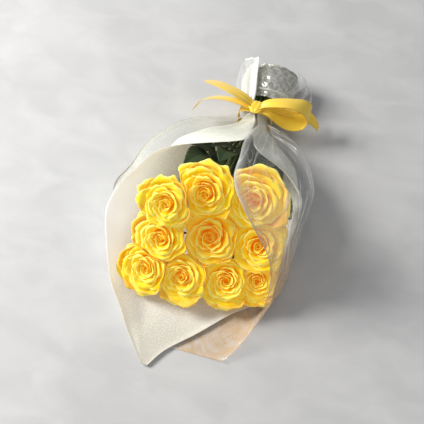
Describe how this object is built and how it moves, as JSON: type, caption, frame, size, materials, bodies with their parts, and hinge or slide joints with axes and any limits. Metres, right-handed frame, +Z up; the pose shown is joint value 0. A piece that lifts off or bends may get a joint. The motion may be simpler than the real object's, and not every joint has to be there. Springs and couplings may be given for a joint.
{
  "type": "bunch of roses",
  "caption": "Bouquet of half-open yellow roses lying on its back, wrapped in cream paper and clear film and tied with a satin ribbon bow.",
  "frame": {"origin": "middle of the bounding box's footprint, on the surface that the bunch lies on", "axes": "+Y along the stems towards their cut ends, the flowers at -Y; +Z up from the surface"},
  "size_m": [0.2222, 0.4194, 0.1424],
  "materials": {
    "petals": "soft matte",
    "leaves": "waxy satin",
    "rubber": "matte",
    "pad": "wet matte",
    "foil": "crinkled",
    "paper": "matte, translucent",
    "film": "clear glossy",
    "ribbon": "satin"
  },
  "bodies": {
    "root": {"rose_01_bloom": "petals", "rose_02_bloom": "petals", "rose_03_bloom": "petals", "rose_04_bloom": "petals", "rose_05_bloom": "petals", "rose_06_bloom": "petals", "rose_07_bloom": "petals", "rose_08_bloom": "petals", "rose_09_bloom": "petals", "rose_10_bloom": "petals", "rose_01_stem": "leaves", "rose_02_stem": "leaves", "rose_03_stem": "leaves", "rose_04_stem": "leaves", "rose_05_stem": "leaves", "rose_06_stem": "leaves", "rose_07_stem": "leaves", "rose_08_stem": "leaves", "rose_09_stem": "leaves", "rose_10_stem": "leaves", "stem_band": "rubber", "wet_pad": "pad", "foil_pouch": "foil", "paper_wrap": "paper", "film_wrap": "film", "ribbon_band": "ribbon", "ribbon_bow": "ribbon"}
  },
  "joints": []
}
